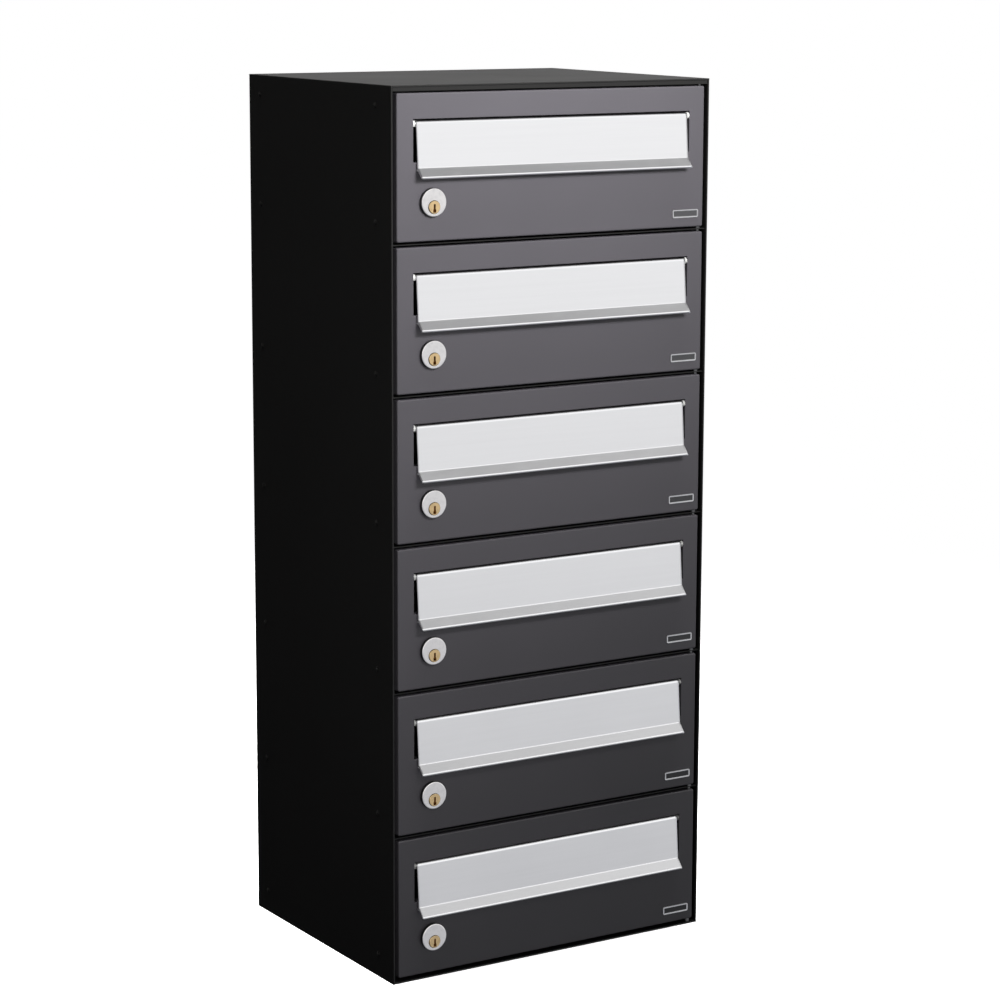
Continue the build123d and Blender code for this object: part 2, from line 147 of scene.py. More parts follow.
# ------------------------------------------------------------------------------------------ settings
class MailboxPaint(bpy.types.PropertyGroup):
    door_colour: FloatVectorProperty(
        name="Door colour", description="Powder coat on the doors", subtype="COLOR", size=3,
        min=0, max=1, default=(0.050, 0.047, 0.053))
    casing_colour: FloatVectorProperty(
        name="Casing colour", description="Powder coat on the cabinet", subtype="COLOR", size=3,
        min=0, max=1, default=(0.009, 0.0088, 0.0086))
    grain: FloatProperty(
        name="Grain", description="Size of the powder coat's texture", subtype="DISTANCE", unit="LENGTH",
        min=0.0002, max=0.01, default=0.0011)
    door_roughness: FloatProperty(
        name="Door roughness", description="Roughness of the doors' coat", subtype="FACTOR",
        min=0, max=1, default=0.42)
    casing_roughness: FloatProperty(
        name="Casing roughness", description="Roughness of the cabinet's coat", subtype="FACTOR",
        min=0, max=1, default=0.46)


class MailboxMetal(bpy.types.PropertyGroup):
    aluminium_colour: FloatVectorProperty(
        name="Aluminium", description="Anodised aluminium of the flaps", subtype="COLOR", size=3,
        min=0, max=1, default=(0.83, 0.83, 0.84))
    aluminium_roughness: FloatProperty(
        name="Aluminium roughness", description="Roughness of the flaps", subtype="FACTOR",
        min=0, max=1, default=0.34)
    nickel_colour: FloatVectorProperty(
        name="Nickel", description="Plating of the lock faces", subtype="COLOR", size=3,
        min=0, max=1, default=(0.95, 0.93, 0.92))
    brass_colour: FloatVectorProperty(
        name="Brass", description="Key plugs", subtype="COLOR", size=3,
        min=0, max=1, default=(0.93, 0.68, 0.36))
    steel_colour: FloatVectorProperty(
        name="Steel", description="Pins, rods, nuts and cams", subtype="COLOR", size=3,
        min=0, max=1, default=(0.56, 0.56, 0.57))


class MailboxDetails(bpy.types.PropertyGroup):
    badge_width: FloatProperty(
        name="Badge width", description="Width of the blank badge", subtype="DISTANCE", unit="LENGTH",
        min=0.01, max=0.08, default=0.034)
    badge_height: FloatProperty(
        name="Badge height", description="Height of the blank badge", subtype="DISTANCE", unit="LENGTH",
        min=0.004, max=0.03, default=0.009)
    badge_thickness: FloatProperty(
        name="Badge thickness", description="Thickness of the blank badge", subtype="DISTANCE", unit="LENGTH",
        min=0.0003, max=0.003, default=0.0012)
    badge_inset: FloatProperty(
        name="Badge inset", description="Badge's right end to the door's edge", subtype="DISTANCE",
        unit="LENGTH", min=0, max=0.1, default=0.007)
    badge_rise: FloatProperty(
        name="Badge rise", description="Badge's middle above the door's lower edge", subtype="DISTANCE",
        unit="LENGTH", min=0, max=0.1, default=0.0149)
    thread_pitch: FloatProperty(
        name="Thread pitch", description="Pitch of the lock housing's thread", subtype="DISTANCE",
        unit="LENGTH", min=0.0005, max=0.003, default=0.00125)
    thread_height: FloatProperty(
        name="Thread height", description="Height of the thread's ridge", subtype="DISTANCE", unit="LENGTH",
        min=0.0001, max=0.001, default=0.0004)
    mandrel_radius: FloatProperty(
        name="Rivet end radius", description="Radius of the broken mandrel in a rivet's head",
        subtype="DISTANCE", unit="LENGTH", min=0.0003, max=0.002, default=0.00105)
    mandrel_sides: IntProperty(
        name="Rivet end sides", description="Faces round the mandrel", min=6, max=48, default=20)


class MailboxStage(bpy.types.PropertyGroup):
    camera_place: FloatVectorProperty(
        name="Camera", description="Camera position", subtype="TRANSLATION", unit="LENGTH", size=3,
        default=(-1.70354, -2.78177, 1.09694))
    camera_turn: FloatProperty(
        name="Camera turn", description="Heading, from +Y towards +X", subtype="ANGLE", unit="ROTATION",
        default=radians(32.5363))
    camera_drop: FloatProperty(
        name="Camera drop", description="How far the camera looks down", subtype="ANGLE", unit="ROTATION",
        default=radians(10.0202))
    camera_roll: FloatProperty(
        name="Camera roll", description="Roll about the line of sight", subtype="ANGLE", unit="ROTATION",
        default=radians(0.3007))
    camera_shift: FloatVectorProperty(
        name="Camera shift", description="Sideways and upward shift of the framing", size=2,
        default=(-0.030, -0.030))
    lens: FloatProperty(
        name="Lens", description="Focal length", subtype="DISTANCE_CAMERA", min=20, max=300, default=105.99)
    floor_size: FloatProperty(
        name="Floor size", description="Width of the floor", subtype="DISTANCE", unit="LENGTH",
        min=2, max=400, default=240)


GROUPS = {"mailbox_paint": MailboxPaint, "mailbox_metal": MailboxMetal,
          "mailbox_details": MailboxDetails, "mailbox_stage": MailboxStage}


# ------------------------------------------------------------------------------------- shader maths
class Value:
    """A number on a shader socket. Arithmetic on it adds Math nodes."""

    def __init__(self, tree, socket):
        self.tree = tree
        self.socket = socket

    def math(self, operation, *operands):
        node = self.tree.nodes.new("ShaderNodeMath")
        node.operation = operation
        for socket, operand in zip(node.inputs, operands):
            fill(self.tree, socket, operand)
        return Value(self.tree, node.outputs[0])

    def __add__(self, other):
        return self.math("ADD", self, other)

    def __sub__(self, other):
        return self.math("SUBTRACT", self, other)

    def __rsub__(self, other):
        return self.math("SUBTRACT", other, self)

    def __mul__(self, other):
        return self.math("MULTIPLY", self, other)

    def __truediv__(self, other):
        return self.math("DIVIDE", self, other)

    def __mod__(self, other):
        return self.math("FLOORED_MODULO", self, other)

    def __abs__(self):
        return self.math("ABSOLUTE", self)

    __radd__ = __add__
    __rmul__ = __mul__

    def sine(self):
        return self.math("SINE", self)

    def root(self):
        return self.math("SQRT", self)

    def least(self, other):
        return self.math("MINIMUM", self, other)

    def most(self, other):
        return self.math("MAXIMUM", self, other)

    def between(self, low, high):
        """0 below low, 1 above high, and a straight line between them."""
        return ((self - low) / (high - low)).least(1).most(0)


def fill(tree, socket, value):
    """Links a socket or sets it, whichever the value is."""
    if isinstance(value, Value):
        value = value.socket
    if isinstance(value, bpy.types.NodeSocket):
        tree.links.new(value, socket)
    elif hasattr(value, "__len__") and len(value) == 3 and len(socket.default_value) == 4:
        socket.default_value = (*value, 1)
    else:
        socket.default_value = value


class Recipe:
    """A node tree that is being written: a material's or the world's."""

    def __init__(self, owner):
        owner.use_nodes = True
        self.tree = owner.node_tree
        self.tree.nodes.clear()

    def node(self, kind, settings=None, sockets=None):
        """Adds a node: its settings are made first, then its sockets are set or linked."""
        node = self.tree.nodes.new(kind)
        for name, value in (settings or {}).items():
            setattr(node, name, value)
        for name, value in (sockets or {}).items():
            fill(self.tree, node.inputs[name], value)
        return node

    def value(self, socket):
        return Value(self.tree, socket)

    def place(self):
        return self.node("ShaderNodeTexCoord").outputs["Object"]

    def split(self, vector):
        node = self.node("ShaderNodeSeparateXYZ", sockets={0: vector})
        return [self.value(socket) for socket in node.outputs]

    def stretched(self, vector, scale):
        return self.node("ShaderNodeVectorMath", {"operation": "MULTIPLY"}, {0: vector, 1: scale}).outputs[0]

    def noise(self, vector, size, detail=2, roughness=0.5):
        """Soft noise, about 0 to 1, whose lumps are about that many metres across."""
        sockets = {"Vector": vector, "Scale": 1 / size, "Detail": detail, "Roughness": roughness}
        return self.value(self.node("ShaderNodeTexNoise", sockets=sockets).outputs["Fac"])

    def speckle(self, vector, size):
        sockets = {"Vector": vector, "Scale": 1 / size}
        return self.value(self.node("ShaderNodeTexVoronoi", sockets=sockets).outputs["Distance"])

    def mix(self, factor, first, second):
        """One colour turning into another as the factor goes from 0 to 1."""
        sockets = {0: factor, 6: first, 7: second}
        return self.node("ShaderNodeMix", {"data_type": "RGBA"}, sockets).outputs[2]

    def bump(self, height, depth):
        """A normal from a height of 0 to 1, scaled to that depth in metres."""
        sockets = {"Height": height, "Distance": depth, "Strength": 1}
        return self.node("ShaderNodeBump", sockets=sockets).outputs["Normal"]


def scaled(colour, factor):
    return tuple(min(1, channel * factor) for channel in colour)


def surface(name, sockets):
    """A material with one Principled shader. The sockets come from a function of its recipe."""
    material = bpy.data.materials.new(name)
    recipe = Recipe(material)
    shader = recipe.node("ShaderNodeBsdfPrincipled", sockets=sockets(recipe))
    recipe.node("ShaderNodeOutputMaterial", sockets={"Surface": shader.outputs["BSDF"]})
    return material


# ---------------------------------------------------------------------------------------- materials
def powder_coat(name, colour, roughness, grain):
    """Textured powder coat: fine raised grain over a slow orange peel, slightly uneven in tone and gloss."""
    def sockets(recipe):
        place = recipe.place()
        cloud = recipe.noise(place, 0.11, detail=3)
        grains = recipe.noise(place, grain, detail=2, roughness=0.6)
        peel = recipe.noise(place, 7 * grain, detail=1)
        specks = recipe.speckle(place, 2.3 * grain).between(0.1, 0.5)
        tone = cloud * 0.6 + grains * 0.3 + specks * 0.1
        return {
            "Base Color": recipe.mix(tone, scaled(colour, 0.88), scaled(colour, 1.16)),
            "Roughness": roughness + (cloud - 0.5) * 0.10 + (grains - 0.5) * 0.12,
            "Normal": recipe.bump(grains * 0.65 + peel * 0.35, CASING_RELIEF),
            "Specular IOR Level": CASING_SPECULAR,
        }
    return surface(name, sockets)


def door_coat(colour, roughness, grain):
    """The doors' powder coat, rubbed a little glossier round each lock, where keys and fingers touch it."""
    def sockets(recipe):
        place = recipe.place()
        x, y, z = recipe.split(place)
        cloud = recipe.noise(place, 0.10, detail=3)
        grains = recipe.noise(place, grain, detail=2, roughness=0.6)
        peel = recipe.noise(place, 7 * grain, detail=1)
        across = x - PLUG_AXIS.x
        up = (z - DOOR_LOW.z) % PITCH - (PLUG_AXIS.z - DOOR_LOW.z)
        from_lock = (across * across + up * up).root()
        rubbed = (1 - from_lock.between(*RUBBED)) * recipe.noise(place, 0.012).between(0.35, 0.7)
        scratches = recipe.noise(recipe.stretched(place, (3, 1, 1)), 0.0016, detail=0)
        marks = scratches.between(0.66, 0.70) * rubbed
        tone = cloud * 0.55 + grains * 0.35 + 0.05
        coat = recipe.mix(tone, scaled(colour, 0.90), scaled(colour, 1.13))
        return {
            "Base Color": recipe.mix(marks * 0.25, coat, scaled(colour, 1.7)),
            "Roughness": roughness + (cloud - 0.5) * 0.08 + (grains - 0.5) * 0.12 - rubbed * 0.07,
            "Normal": recipe.bump(grains * 0.65 + peel * 0.35, DOOR_RELIEF),
            "Specular IOR Level": DOOR_SPECULAR,
        }
    return surface("door_powder_coat", sockets)


def anodised_aluminium(colour, roughness):
    """Satin anodised extrusion: fine die lines along X, soft streaks, and fingermarks along the lip."""
    def sockets(recipe):
        place = recipe.place()
        x, y, z = recipe.split(place)
        lines = recipe.noise(recipe.stretched(place, (0.006, 1, 1)), 0.00035, detail=3, roughness=0.7)
        streaks = recipe.noise(recipe.stretched(place, (0.02, 1, 1)), 0.004, detail=2)
        cloud = recipe.noise(place, 0.09, detail=3)
        lip = 1 - ((z - DOOR_LOW.z) % PITCH).between(0.070, 0.080)
        fingers = recipe.noise(place, 0.016, detail=4).between(0.48, 0.68) * lip
        tone = lines * 0.35 + streaks * 0.35 + cloud * 0.3
        eased = abs(x).between(FLAP_HIGH.x - FLAP_EDGE, FLAP_HIGH.x)
        rolled = 1 - ((z - FLAP_LOW.z) % PITCH).between(0.5 * FLAP_EDGE, 2 * FLAP_EDGE)
        drawn = (lines * 0.7 + streaks * 0.3) * (DIE_LINE / FLAP_EDGE)
        return {
            "Base Color": recipe.mix(tone, scaled(colour, 0.93), scaled(colour, 1.05)),
            "Metallic": 1.0,
            "Roughness": roughness + (lines - 0.5) * 0.10 + (cloud - 0.5) * 0.05 + fingers * 0.06,
            "Normal": recipe.bump(drawn - eased - rolled, FLAP_EDGE),
        }
    return surface("flap_anodised_aluminium", sockets)


def turned_metal(name, colour, roughness, middle, ring, tarnish, shade_radius):
    """Turned metal: fine rings about an axis along Y through every box's lock, and painted shade, nearly
    black, beyond a radius on the rims and sides.
    """
    def sockets(recipe):
        place = recipe.place()
        x, y, z = recipe.split(place)
        across = x - middle.x
        up = (z - DOOR_LOW.z) % PITCH - (middle.z - DOOR_LOW.z)
        radius = (across * across + up * up).root()
        rings = (radius * (2 * pi / ring)).sine() * 0.5 + 0.5
        stains = recipe.noise(place, 0.006, detail=4, roughness=0.6)
        scratches = recipe.noise(recipe.stretched(place, (1, 1, 6)), 0.002, detail=1).between(0.60, 0.68)
        dulled = stains.between(0.42, 0.75) * tarnish
        # painted shade: beyond the radius, on the rims and sides of the lock faces and key plugs, the colour
        # drops to nearly black
        painted_rim_shade = radius.between(shade_radius - 0.2 * MM, shade_radius + 0.2 * MM) * 0.95
        clean = recipe.mix(dulled, colour, scaled(colour, 0.62))
        return {
            "Base Color": recipe.mix(painted_rim_shade, clean, scaled(colour, 0.05)),
            "Metallic": 1.0,
            "Roughness": roughness + (stains - 0.5) * 0.14 + rings * 0.05 + scratches * 0.08,
            "Normal": recipe.bump(rings * 0.4 + scratches * 0.2 + stains * 0.4, METAL_RELIEF),
        }
    return surface(name, sockets)


def drawn_steel(name, colour, roughness, direction):
    """Drawn or plated steel, streaked along one direction, with grey blooms."""
    def sockets(recipe):
        place = recipe.place()
        streaks = recipe.noise(recipe.stretched(place, direction), 0.0006, detail=3)
        bloom = recipe.noise(place, 0.009, detail=4, roughness=0.65)
        return {
            "Base Color": recipe.mix(bloom, scaled(colour, 0.78), scaled(colour, 1.15)),
            "Metallic": 1.0,
            "Roughness": roughness + (bloom - 0.5) * 0.2 + (streaks - 0.5) * 0.1,
            "Normal": recipe.bump(streaks, METAL_RELIEF),
        }
    return surface(name, sockets)


def moulded_plastic(name, colour, roughness):
    """Moulded plastic with a fine spark-eroded texture."""
    def sockets(recipe):
        place = recipe.place()
        spark = recipe.noise(place, 0.0003, detail=2)
        flow = recipe.noise(place, 0.004, detail=2)
        return {
            "Base Color": recipe.mix(flow, scaled(colour, 0.93), scaled(colour, 1.05)),
            "Roughness": roughness + (flow - 0.5) * 0.12,
            "Normal": recipe.bump(spark, PLASTIC_RELIEF),
        }
    return surface(name, sockets)


def dress(names, material):
    """Gives CAD nodes a material in every slot."""
    for name in names:
        mesh = frame["nodes"][name].data
        if not mesh.materials:
            mesh.materials.append(material)
        for index in range(len(mesh.materials)):
            mesh.materials[index] = material


def in_each_box(stem):
    return [f"{stem}_{number}" for number in NUMBERS]


# ------------------------------------------------------------------------------------------- pieces
def new_piece(name, mesh, material, body):
    """A finished piece: mesh in place, object at the origin, riding on a body."""
    piece = bpy.data.objects.new(name, mesh)
    bpy.context.scene.collection.objects.link(piece)
    if not mesh.materials:
        mesh.materials.append(material)
    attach(piece, body)
    return piece


def rounded_outline(width, height, radius, steps=6):
    """Corner points, anticlockwise, of a rectangle about the origin with rounded corners."""
    points = []
    for turn, (side_x, side_z) in enumerate(((1, 1), (-1, 1), (-1, -1), (1, -1))):
        for step in range(steps + 1):
            angle = (turn + step / steps) * pi / 2
            points.append((side_x * (width / 2 - radius) + radius * cos(angle),
                           side_z * (height / 2 - radius) + radius * sin(angle)))
    return points


def plate_mesh(name, width, height, thickness, place):
    """A rounded plate facing -Y, with a bevelled raised rim. Its sunk field takes the second material."""
    rim = height * 0.11
    # inwards from the edge, and outwards as a share of the thickness
    profile = ((0, 0), (0, 0.72), (0.22 * rim, 1), (rim, 1), (1.25 * rim, 0.66), (1.5 * rim, 0.62))
    mesh = bmesh.new()
    loops = []
    for inset, out in profile:
        corner = max(height * 0.2 - inset, height * 0.05)
        outline = rounded_outline(width - 2 * inset, height - 2 * inset, corner)
        front = place.y - thickness * out
        loops.append([mesh.verts.new((place.x + x, front, place.z + z)) for x, z in outline])
    for outer, inner in zip(loops, loops[1:]):
        for index in range(len(outer)):
            following = (index + 1) % len(outer)
            mesh.faces.new((outer[index], outer[following], inner[following], inner[index]))
    field = mesh.faces.new(loops[-1])
    field.material_index = 1
    mesh.faces.new(reversed(loops[0]))
    bmesh.ops.recalc_face_normals(mesh, faces=mesh.faces)
    data = bpy.data.meshes.new(name)
    mesh.to_mesh(data)
    mesh.free()
    return data


# ----------------------------------------------------------------------------------- geometry nodes
class Tree:
    """A Geometry Nodes tree that is being written, with named inputs."""

    def __init__(self, name, inputs):
        self.tree = bpy.data.node_groups.new(name, "GeometryNodeTree")
        sockets = self.tree.interface
        sockets.new_socket("Geometry", in_out="INPUT", socket_type="NodeSocketGeometry")
        for label, (kind, value) in inputs.items():
            sockets.new_socket(label, in_out="INPUT", socket_type=kind).default_value = value
        sockets.new_socket("Geometry", in_out="OUTPUT", socket_type="NodeSocketGeometry")
        self.inputs = self.tree.nodes.new("NodeGroupInput").outputs
        self.result = self.tree.nodes.new("NodeGroupOutput").inputs[0]

    def node(self, kind, settings=None, sockets=None):
        node = self.tree.nodes.new(kind)
        for name, value in (settings or {}).items():
            setattr(node, name, value)
        for name, value in (sockets or {}).items():
            if isinstance(value, bpy.types.NodeSocket):
                self.tree.links.new(value, node.inputs[name])
            else:
                node.inputs[name].default_value = value
        return node.outputs

    def finish(self, geometry, material):
        """Every tree ends in real geometry with its material."""
        real = self.node("GeometryNodeRealizeInstances", sockets={0: geometry})[0]
        painted = self.node("GeometryNodeSetMaterial", sockets={"Geometry": real, "Material": material})[0]
        self.tree.links.new(painted, self.result)
        return self.tree


def grown(name, seed_mesh, tree, values):
    """The plain mesh that a tree makes from a seed mesh with these input values."""
    seed = bpy.data.objects.new(name, seed_mesh)
    bpy.context.scene.collection.objects.link(seed)
    modifier = seed.modifiers.new("grow", "NODES")
    modifier.node_group = tree
    for item in tree.interface.items_tree:
        if item.in_out == "INPUT" and item.name in values:
            modifier[item.identifier] = values[item.name]
    seed.update_tag()
    graph = bpy.context.evaluated_depsgraph_get()
    mesh = bpy.data.meshes.new_from_object(seed.evaluated_get(graph), depsgraph=graph)
    seed.modifiers.remove(modifier)
    bpy.data.objects.remove(seed)
    mesh.name = name
    return mesh


def points_mesh(name, places, directions):
    """Loose points, each with the direction that its instance faces."""
    mesh = bpy.data.meshes.new(name)
    mesh.from_pydata([tuple(place) for place in places], [], [])
    facing = mesh.attributes.new("facing", "FLOAT_VECTOR", "POINT")
    for item, direction in zip(facing.data, directions):
        item.vector = direction
    return mesh


def rivet_end_tree(material, sides):
    """A low, chamfered disc on every point, turned to the point's direction."""
    tree = Tree("rivet_ends", {"Radius": ("NodeSocketFloat", 0.001), "Depth": ("NodeSocketFloat", 0.001)})
    radius = tree.inputs["Radius"]
    depth = tree.inputs["Depth"]
    disc = tree.node("GeometryNodeMeshCylinder", {"fill_type": "TRIANGLE_FAN"},
                     {"Vertices": sides, "Radius": radius, "Depth": depth})
    top = tree.node("GeometryNodeScaleElements", sockets={
        "Geometry": disc["Mesh"], "Selection": disc["Top"], "Scale": 0.72})[0]
    facing = tree.node("GeometryNodeInputNamedAttribute", {"data_type": "FLOAT_VECTOR"},
                       {"Name": "facing"})[0]
    turn = tree.node("FunctionNodeAlignRotationToVector", {"axis": "Z"}, {"Vector": facing})[0]
    discs = tree.node("GeometryNodeInstanceOnPoints", sockets={
        "Points": tree.inputs["Geometry"], "Instance": top, "Rotation": turn})[0]
    return tree.finish(discs, material)


def thread_tree(material):
    """A ridge that winds round a barrel along Y, flattened at the barrel's two flats."""
    tree = Tree("thread", {
        "Radius": ("NodeSocketFloat", 0.01), "Turns": ("NodeSocketFloat", 8.0),
        "Length": ("NodeSocketFloat", 0.01), "Ridge": ("NodeSocketFloat", 0.0004),
        "Flat": ("NodeSocketFloat", 0.01), "Start": ("NodeSocketVector", (0, 0, 0))})
    inputs = tree.inputs
    helix = tree.node("GeometryNodeCurveSpiral", sockets={
        "Resolution": 72, "Rotations": inputs["Turns"], "Start Radius": inputs["Radius"],
        "End Radius": inputs["Radius"], "Height": inputs["Length"]})[0]
    x, y, z = tree.node("ShaderNodeSeparateXYZ", sockets={0: tree.node("GeometryNodeInputPosition")[0]})
    edge = tree.node("ShaderNodeMath", {"operation": "MULTIPLY"}, {0: inputs["Flat"], 1: -1.0})[0]
    kept = tree.node("ShaderNodeClamp", sockets={"Value": x, "Min": edge, "Max": inputs["Flat"]})[0]
    along = tree.node("ShaderNodeCombineXYZ", sockets={0: kept, 1: z, 2: y})[0]
    moved = tree.node("ShaderNodeVectorMath", {"operation": "ADD"}, {0: along, 1: inputs["Start"]})[0]
    path = tree.node("GeometryNodeSetPosition", sockets={"Geometry": helix, "Position": moved})[0]
    profile = tree.node("GeometryNodeCurvePrimitiveCircle", sockets={
        "Resolution": 4, "Radius": inputs["Ridge"]})[0]
    ridge = tree.node("GeometryNodeCurveToMesh", sockets={
        "Curve": path, "Profile Curve": profile, "Fill Caps": True})[0]
    return tree.finish(ridge, material)


def shells(mesh):
    """The low and high corner of each separate shell of a mesh of loose triangles."""
    work = bmesh.new()
    work.from_mesh(mesh)
    bmesh.ops.remove_doubles(work, verts=work.verts, dist=0.001 * MM)
    left = set(work.verts)
    boxes = []
    while left:
        reached = {left.pop()}
        edge = list(reached)
        while edge:
            vertex = edge.pop()
            near = {link.other_vert(vertex) for link in vertex.link_edges} - reached
            reached |= near
            edge.extend(near)
        left -= reached
        low = Vector([min(vertex.co[axis] for vertex in reached) for axis in range(3)])
        high = Vector([max(vertex.co[axis] for vertex in reached) for axis in range(3)])
        boxes.append((low, high))
    work.free()
    return boxes


# ---------------------------------------------------------------------------------------- operators
class MAILBOX_OT_casing(bpy.types.Operator):
    """Black powder coat on the sides, roof, base, shelves, back and rivets"""
    bl_idname = "mailbox.casing"
    bl_label = "Casing"

    def execute(self, context):
        paint = context.scene.mailbox_paint
        coat = powder_coat("casing_powder_coat", paint.casing_colour, paint.casing_roughness, paint.grain)
        shelves = [f"shelf_{number}" for number in range(1, BOXES)]
        dress(["left_side", "right_side", "roof", "base", "back_panel", "rivets", *shelves], coat)
        return {"FINISHED"}


class MAILBOX_OT_doors(bpy.types.Operator):
    """Dark grey powder coat on the doors"""
    bl_idname = "mailbox.doors"
    bl_label = "Doors"

    def execute(self, context):
        paint = context.scene.mailbox_paint
        dress(in_each_box("door"), door_coat(paint.door_colour, paint.door_roughness, paint.grain))
        return {"FINISHED"}


class MAILBOX_OT_flaps(bpy.types.Operator):
    """Anodised aluminium on the flaps"""
    bl_idname = "mailbox.flaps"
    bl_label = "Flaps"

    def execute(self, context):
        metal = context.scene.mailbox_metal
        dress(in_each_box("flap"), anodised_aluminium(metal.aluminium_colour, metal.aluminium_roughness))
        return {"FINISHED"}


class MAILBOX_OT_pivots(bpy.types.Operator):
    """Steel on the hinge pins and flap rods, plastic on the bushes"""
    bl_idname = "mailbox.pivots"
    bl_label = "Pivots"

    def execute(self, context):
        steel = context.scene.mailbox_metal.steel_colour
        # the hinge pins' steel is darkened to a quarter: painted shade for the pins that sit in the dark gaps
        # between the doors
        dress(["hinge_pins"], drawn_steel("pin_steel_painted_shade", scaled(steel, 0.25), 0.40, (1, 1, 0.03)))
        dress(in_each_box("flap_rod"), drawn_steel("rod_steel", steel, 0.30, (0.03, 1, 1)))
        dress(in_each_box("flap_bushes"), moulded_plastic("bush_plastic", BUSH_GREY_AND_SHADE, 0.45))
        return {"FINISHED"}


class MAILBOX_OT_locks(bpy.types.Operator):
    """Nickel plate, brass and zinc on the locks"""
    bl_idname = "mailbox.locks"
    bl_label = "Locks"

    def execute(self, context):
        metal = context.scene.mailbox_metal
        nickel = turned_metal("lock_nickel", metal.nickel_colour, 0.36, LOCK_AXIS,
                              NICKEL_RING, 0.35, NICKEL_SHADE_RADIUS)
        dress(in_each_box("lock_body"), nickel)
        brass = turned_metal("key_brass", metal.brass_colour, 0.30, PLUG_AXIS,
                             BRASS_RING, 0.6, BRASS_SHADE_RADIUS)
        dress(in_each_box("lock_plug"), brass)
        zinc = drawn_steel("zinc_plate", metal.steel_colour, 0.38, (1, 1, 0.2))
        dress([*in_each_box("lock_nut"), *in_each_box("lock_cam")], zinc)
        return {"FINISHED"}


class MAILBOX_OT_threads(bpy.types.Operator):
    """The ridge of the thread behind each lock's nut"""
    bl_idname = "mailbox.threads"
    bl_label = "Lock threads"

    def execute(self, context):
        details = context.scene.mailbox_details
        material = bpy.data.materials.get("lock_nickel")
        if material is None:
            raise RuntimeError("the locks need their finish first")
        tree = thread_tree(material)
        nut_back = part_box("lock_nut_1")[1].y
        ridge = details.thread_height
        start = nut_back + ridge
        length = LOCK_HIGH.y - 2 * ridge - start
        barrel = barrel_radius()
        flat = barrel_half_flat()
        for number in NUMBERS:
            middle = LOCK_AXIS - Vector((0, 0, PITCH * (number - 1)))
            mesh = grown(f"lock_thread_{number}", bpy.data.meshes.new("seed"), tree, {
                "Radius": barrel, "Turns": length / details.thread_pitch, "Length": length,
                "Ridge": ridge, "Flat": flat, "Start": (middle.x, start, middle.z)})
            new_piece(f"lock_thread_{number}", mesh, material, f"door_{number}")
        return {"FINISHED"}


def barrel_points():
    """Points of the first lock's barrel, behind the door's face."""
    mesh = frame["nodes"]["lock_body_1"].data
    return [vertex.co for vertex in mesh.vertices if vertex.co.y > DOOR_LOW.y + 1 * MM]


def barrel_radius():
    return max(hypot(point.x - LOCK_AXIS.x, point.z - LOCK_AXIS.z) for point in barrel_points())


def barrel_half_flat():
    return max(abs(point.x - LOCK_AXIS.x) for point in barrel_points())


class MAILBOX_OT_rivet_ends(bpy.types.Operator):
    """The broken mandrel in the middle of each blind rivet's head"""
    bl_idname = "mailbox.rivet_ends"
    bl_label = "Rivet ends"

    def execute(self, context):
        details = context.scene.mailbox_details
        coat = bpy.data.materials.get("casing_powder_coat")
        if coat is None:
            raise RuntimeError("the casing needs its finish first")
        places = []
        directions = []
        for low, high in shells(frame["nodes"]["rivets"].data):
            middle = (low + high) / 2
            if high.y > CAD_BOX[1][1] - 2 * MM:
                direction = Vector((0, 1, 0))
                places.append(Vector((middle.x, high.y, middle.z)))
            else:
                side = 1 if middle.x > 0 else -1
                direction = Vector((side, 0, 0))
                places.append(Vector((high.x if side > 0 else low.x, middle.y, middle.z)))
            directions.append(direction)
        tree = rivet_end_tree(coat, details.mandrel_sides)
        mesh = grown("rivet_ends", points_mesh("rivet_points", places, directions), tree,
                     {"Radius": details.mandrel_radius, "Depth": details.mandrel_radius * 0.6})
        new_piece("rivet_ends", mesh, coat, "cabinet")
        return {"FINISHED"}


class MAILBOX_OT_badges(bpy.types.Operator):
    """A small blank plate at the lower right corner of each door"""
    bl_idname = "mailbox.badges"
    bl_label = "Badges"

    def execute(self, context):
        details = context.scene.mailbox_details
        metal = context.scene.mailbox_metal
        satin = drawn_steel("badge_rim", metal.aluminium_colour, 0.36, (0.04, 1, 1))
        dark = moulded_plastic("badge_field", BADGE_COLOUR, 0.3)
        for number in NUMBERS:
            low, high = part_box(f"door_{number}")
            place = Vector((high.x - details.badge_inset - details.badge_width / 2, low.y,
                            low.z + details.badge_rise))
            mesh = plate_mesh(f"badge_{number}", details.badge_width, details.badge_height,
                              details.badge_thickness, place)
            mesh.materials.append(satin)
            mesh.materials.append(dark)
            new_piece(f"badge_{number}", mesh, satin, f"door_{number}")
        return {"FINISHED"}


def area_light(name, place, target, size, power, spread):
    """A rectangular soft light that looks at a point and is not mirrored in the object."""
    light = bpy.data.lights.new(name, "AREA")
    light.shape = "RECTANGLE"
    light.size, light.size_y = size
    light.energy = power
    light.spread = spread
    lamp = bpy.data.objects.new(name, light)
    bpy.context.scene.collection.objects.link(lamp)
    lamp.location = place
    lamp.rotation_euler = (Vector(target) - Vector(place)).to_track_quat("-Z", "Y").to_euler()
    lamp.visible_glossy = False


